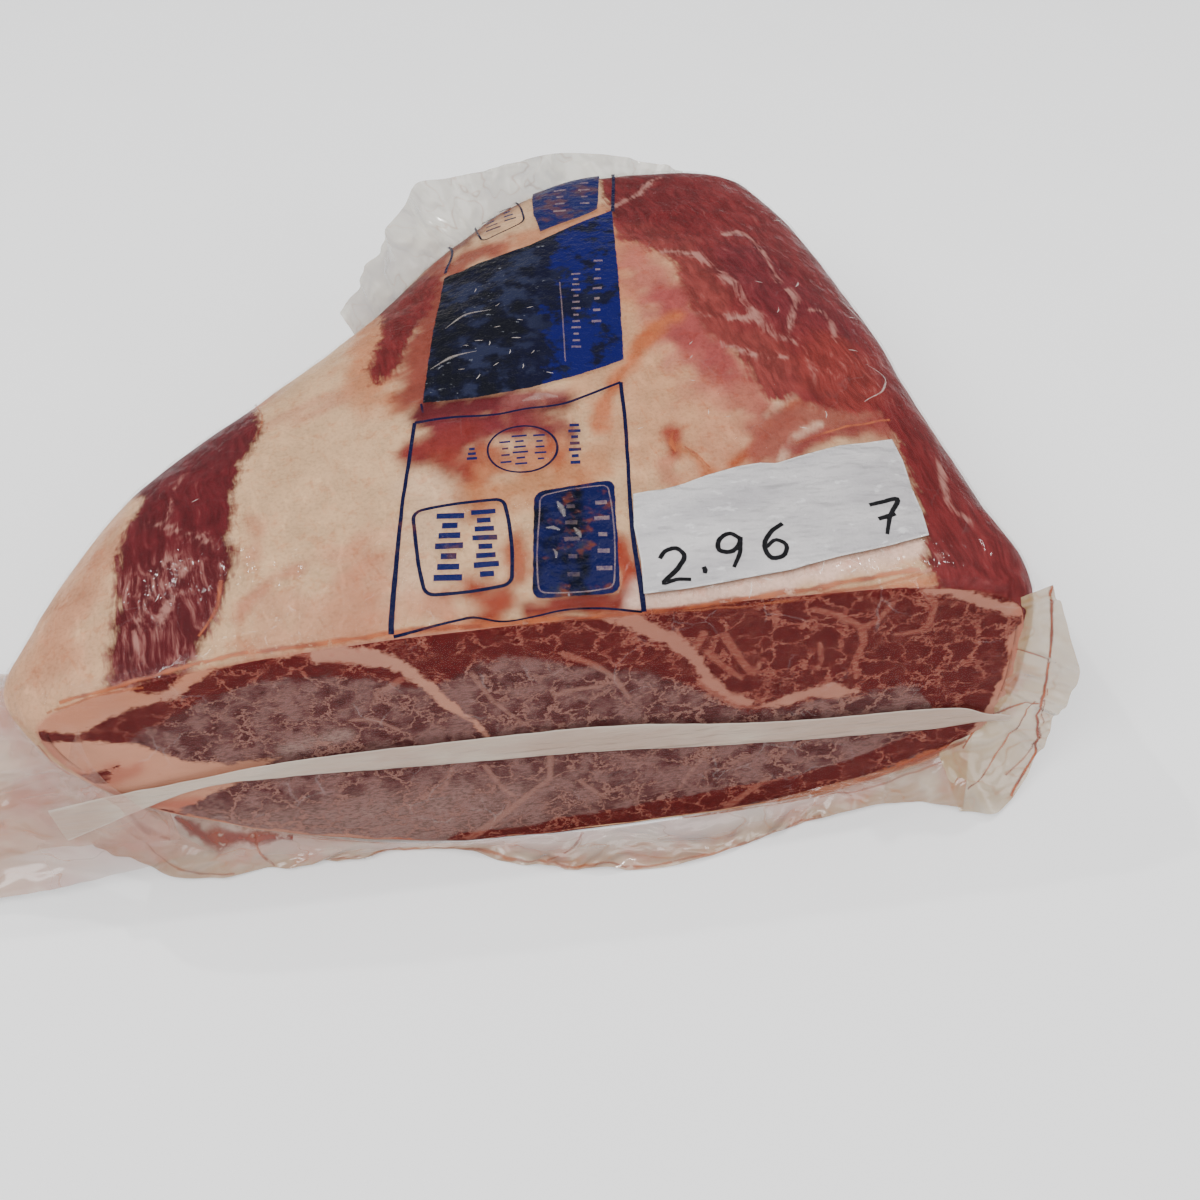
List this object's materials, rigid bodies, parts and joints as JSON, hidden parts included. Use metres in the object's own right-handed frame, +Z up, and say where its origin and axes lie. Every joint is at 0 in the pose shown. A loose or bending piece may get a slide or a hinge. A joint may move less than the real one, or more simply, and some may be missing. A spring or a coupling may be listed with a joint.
{
  "type": "vacuum-packed raw beef block",
  "caption": "Wedge-shaped raw beef block in a clear shrink bag, marbled cut face in front, fat-capped top with a paper label, loose film neck and fins.",
  "frame": {"origin": "middle of the pack's plan box, on the surface that it lies on", "axes": "+X along the cut face towards the bag's closed end, +Y from the cut face to the back, +Z up"},
  "size_m": [0.351, 0.2512, 0.0831],
  "materials": {
    "wrapped_beef": "glossy clear film over dark red marbled beef and cream fat",
    "label_paper": "matt white paper, slightly creased"
  },
  "bodies": {
    "root": {"vacuum_pack": "wrapped_beef", "label": "label_paper"}
  },
  "joints": []
}
